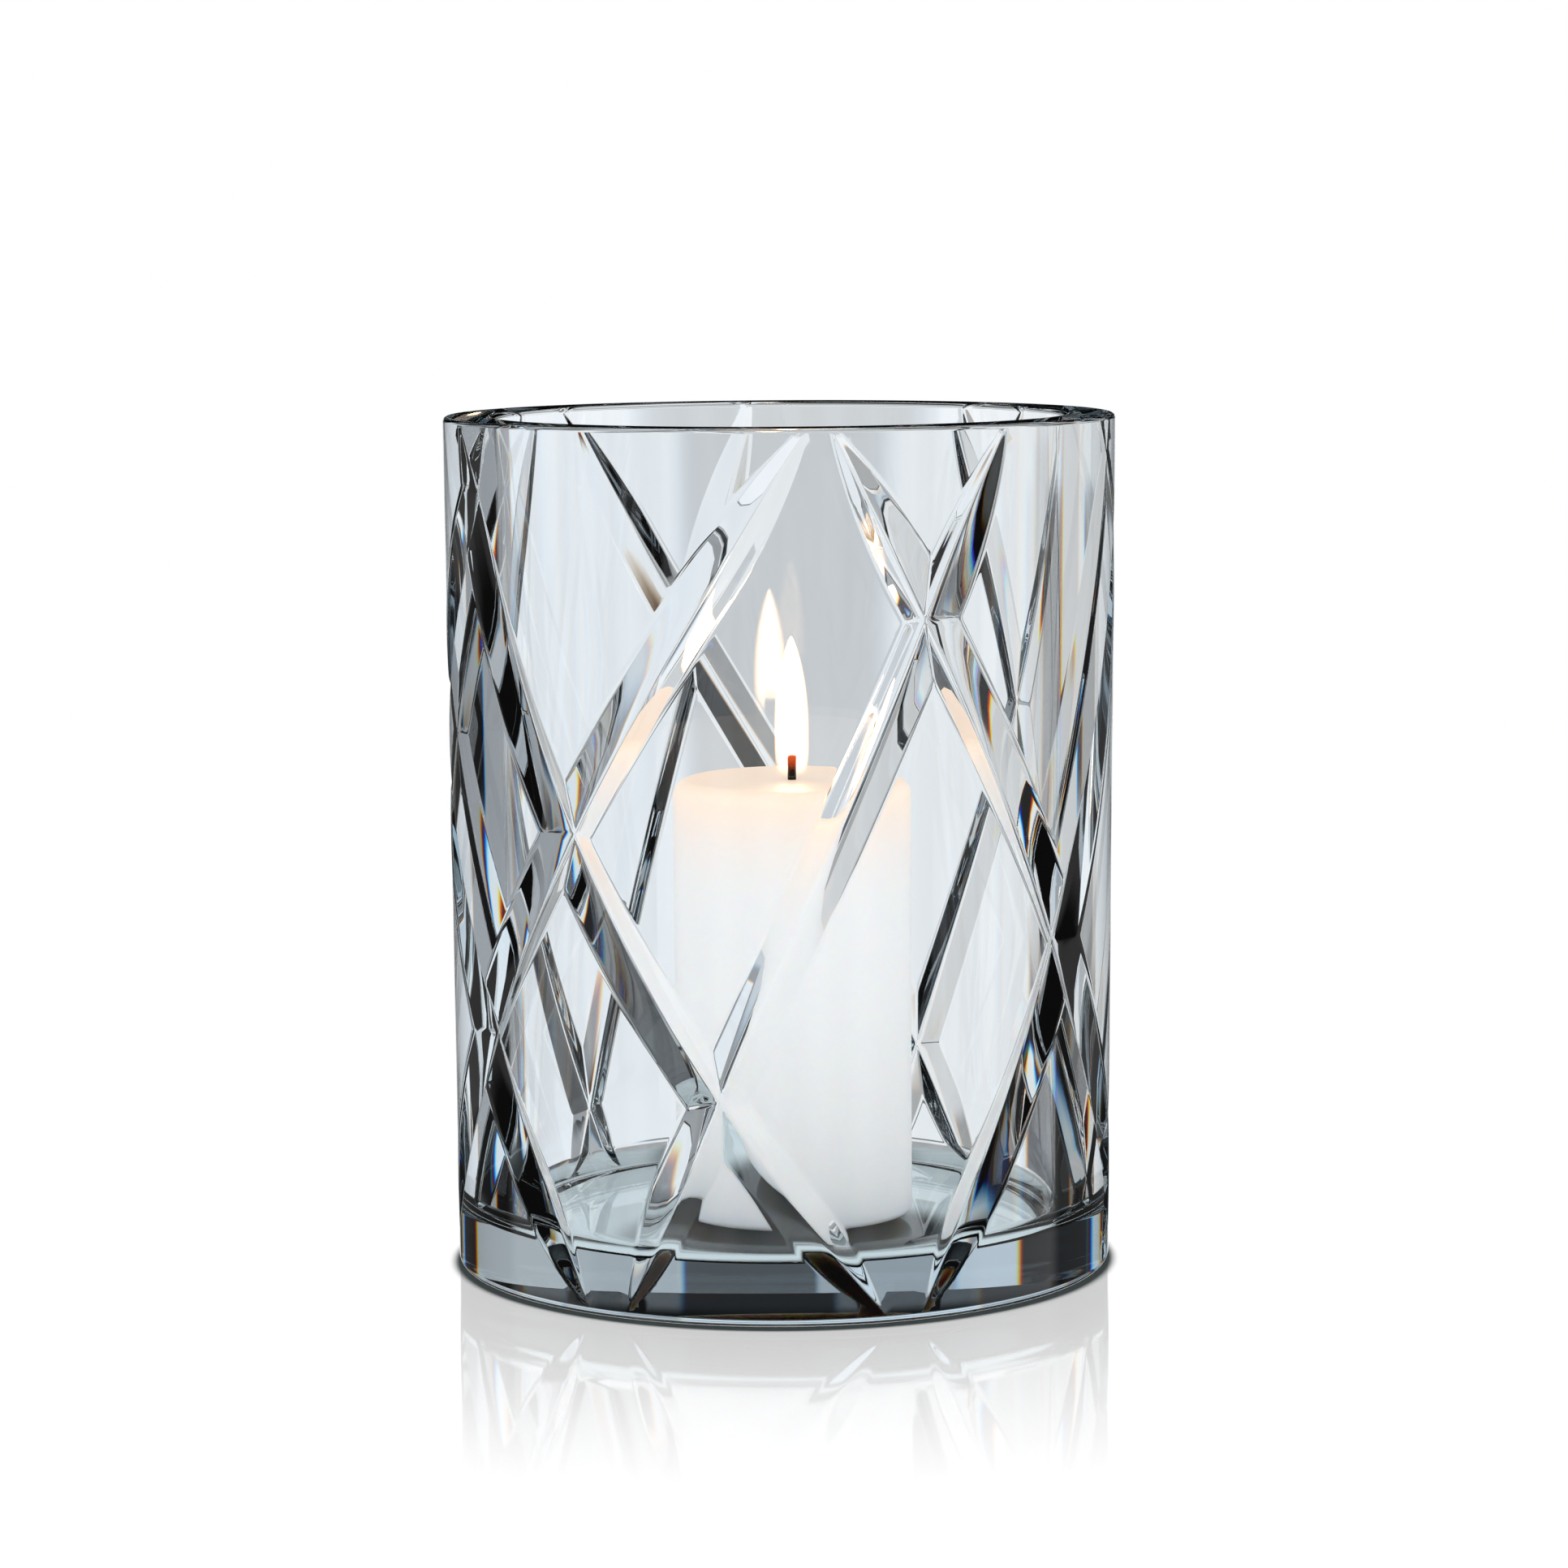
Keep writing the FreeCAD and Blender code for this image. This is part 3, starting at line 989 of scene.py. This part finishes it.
def painted_ground_shade():
    """What the glass shows of the table, as painted light and shade: a painted shadow under the candle and
    before it, painted light round that, painted shade again at the foot except at the back on both sides,
    and clear further out."""
    material, tree = shade("painted_ground_shade")
    x, y, _ = tree.place()
    reach = distance(x, y)
    # Painted light and shade: the candle's shadow, the lit table round it and the shade at the foot are
    # painted into the disc's emission colour
    painted_shadow_reach = distance(x - 0.003, y + 0.02)
    behind = x.math("ABSOLUTE", x).ramp(0.03, 0.045) * y.ramp(0.0, 0.05)
    lit = painted_shadow_reach.ramp(0.034, 0.048, 0.04, 0.8) * reach.ramp(0.07, 0.08, 1.0, 0.04 + behind * 0.7)
    painted_light_and_shade = tree.mix(lit, BLACK, (0.82, 0.96, 1.0, 1))
    glow = tree.node("ShaderNodeEmission", None, {"Color": painted_light_and_shade})
    clear = tree.node("ShaderNodeBsdfTransparent")
    tree.surface(tree.blend(reach.ramp(0.1, 0.115), glow, clear))
    return material


def dull_black():
    """A black card that gives back almost nothing."""
    material, tree = shade("dull_black")
    tree.surface(tree.node("ShaderNodeEmission", None, {"Color": (0.004, 0.004, 0.004, 1)}))
    return material


def add_stage_piece(name, points, faces, material):
    """Puts arrays into a mesh object that belongs to the stage."""
    mesh = bpy.data.meshes.new(name)
    mesh.from_pydata(points.tolist(), [], faces)
    mesh.materials.append(material)
    piece = bpy.data.objects.new(name, mesh)
    bpy.context.scene.collection.objects.link(piece)
    return piece


def round_card(name, wide, reach, centre, tilt, material):
    """An oval flat card, tilted back from level, seen only mirrored or through the glass."""
    corners = 64
    turn = np.arange(corners) * 2 * np.pi / corners
    points = np.stack([wide * np.cos(turn), reach * np.sin(turn), np.zeros(corners)], 1)
    card = add_stage_piece(name, points, [list(range(corners))], material)
    card.location = centre
    card.rotation_euler = (tilt, 0, 0)
    card.visible_camera = False
    card.visible_diffuse = False
    card.visible_shadow = False
    return card


def table_top(s, v):
    """The round table top, a little below the foot."""
    columns, drop = 96, -4e-4
    turn = np.arange(columns) * 2 * np.pi / columns
    radii = np.array([0.2, 0.5, s.floor_radius])[:, None]
    rings = np.stack([radii * np.sin(turn), -radii * np.cos(turn), np.full((3, columns), drop)], 2)
    points = np.concatenate([rings.reshape(-1, 3), [(0, 0, drop)]])
    hub = fan(np.arange(columns), 3 * columns, True)
    faces = ring_faces(3, columns)[:, ::-1].tolist() + hub.tolist()
    table = add_stage_piece("table_top", points, faces, pale_floor(v))
    table.visible_transmission = False
    table.visible_glossy = False
    return table


def set_camera(s):
    """The camera, a little above the rim and tilted down."""
    lens = bpy.data.cameras.new("camera")
    lens.sensor_width = 36.0
    lens.lens = s.camera_lens
    lens.clip_start = 0.01
    camera = bpy.data.objects.new("camera", lens)
    camera.location = (s.camera_side, -s.camera_distance, s.camera_height)
    camera.rotation_mode = "ZYX"
    camera.rotation_euler = (math.pi / 2 - s.camera_pitch, 0, s.camera_roll)
    bpy.context.scene.collection.objects.link(camera)
    bpy.context.scene.camera = camera


class LANTERN_OT_stage(bpy.types.Operator):
    """Set the floor, the light and the camera."""

    bl_idname = "lantern.stage"
    bl_label = "Stage"

    def execute(self, context):
        s = context.scene.lantern_stage
        table = table_top(s, context.scene.lantern_vessel)
        # Painted shade: a disc under the lantern, seen only through the glass, carries the table's painted
        # light and shade
        painted_shade_disc = round_card(
            "painted_contact_shadow", wide=0.15, reach=0.15, centre=(0, 0, -2e-4), tilt=0, material=painted_ground_shade()
        )
        flag = round_card(
            "dark_flag", wide=0.7, reach=0.4, centre=(0, 0.3, 0.616), tilt=math.pi / 2, material=dull_black()
        )
        painted_shade_disc.visible_glossy = False
        flag.visible_transmission = False
        studio_world(s)
        set_camera(s)
        context.scene.view_settings.view_transform = "Standard"
        return {"FINISHED"}


class LANTERN_PT_build(bpy.types.Panel):
    """Lists the pieces and their settings."""

    bl_idname = "LANTERN_PT_build"
    bl_label = "Candle lantern"
    bl_space_type = "VIEW_3D"
    bl_region_type = "UI"
    bl_category = "Lantern"

    def draw(self, context):
        for operator in OPERATORS:
            self.layout.operator(operator.bl_idname)
        for name in SETTINGS:
            group = getattr(context.scene, name)
            box = self.layout.box()
            for prop in group.bl_rna.properties:
                if prop.identifier not in ("rna_type", "name"):
                    box.prop(group, prop.identifier)


SETTINGS = {"lantern_vessel": LanternVessel, "lantern_candle": LanternCandle, "lantern_stage": LanternStage}
OPERATORS = (LANTERN_OT_vessel, LANTERN_OT_candle, LANTERN_OT_wick, LANTERN_OT_flame, LANTERN_OT_stage)
CLASSES = (*SETTINGS.values(), *OPERATORS, LANTERN_PT_build)


def register():
    """Make the settings, the operators and the panel known."""
    for cls in CLASSES:
        bpy.utils.register_class(cls)
    for name, group in SETTINGS.items():
        setattr(bpy.types.Scene, name, PointerProperty(type=group))


def unregister():
    """Take them back."""
    for name in SETTINGS:
        delattr(bpy.types.Scene, name)
    for cls in reversed(CLASSES):
        bpy.utils.unregister_class(cls)


def main():
    """Build every piece and the stage."""
    register()
    bpy.ops.lantern.vessel()
    bpy.ops.lantern.candle()
    bpy.ops.lantern.wick()
    bpy.ops.lantern.flame()
    bpy.ops.lantern.stage()


if __name__ == "__main__":
    main()
